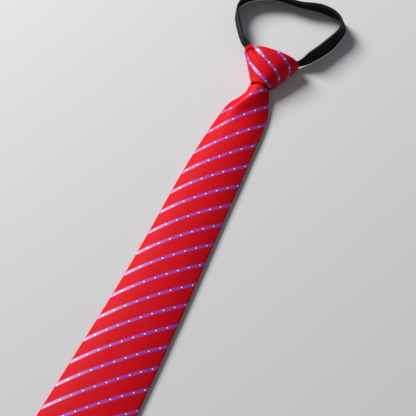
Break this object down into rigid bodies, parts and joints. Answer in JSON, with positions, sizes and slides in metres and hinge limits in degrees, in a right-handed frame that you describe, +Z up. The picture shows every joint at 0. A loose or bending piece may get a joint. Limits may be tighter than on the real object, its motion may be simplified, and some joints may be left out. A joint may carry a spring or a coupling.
{
  "type": "zipper necktie",
  "caption": "Pre-tied striped necktie lying flat: a pointed blade hangs from a ready-made knot, with a black zip-tape strap that loops round the neck.",
  "frame": {"origin": "middle of the tie's outline on the surface it lies on", "axes": "+Z up out of the tie's front, +Y from the blade's tip to the neck strap, +X to the wearer's left as the front is seen"},
  "size_m": [0.102, 0.5584, 0.0205],
  "materials": {
    "striped_silk": "red satin-faced silk with narrow violet stripes and small white dots",
    "black_tape": "black woven zip tape",
    "black_nylon": "black nylon coil and slider"
  },
  "bodies": {
    "root": {"front_blade": "striped_silk", "knot_wrap": "striped_silk", "neck_strap": "black_tape", "strap_coil": "black_nylon", "zip_tail": "black_tape", "tail_coil": "black_nylon", "zip_slider": "black_nylon"}
  },
  "joints": []
}
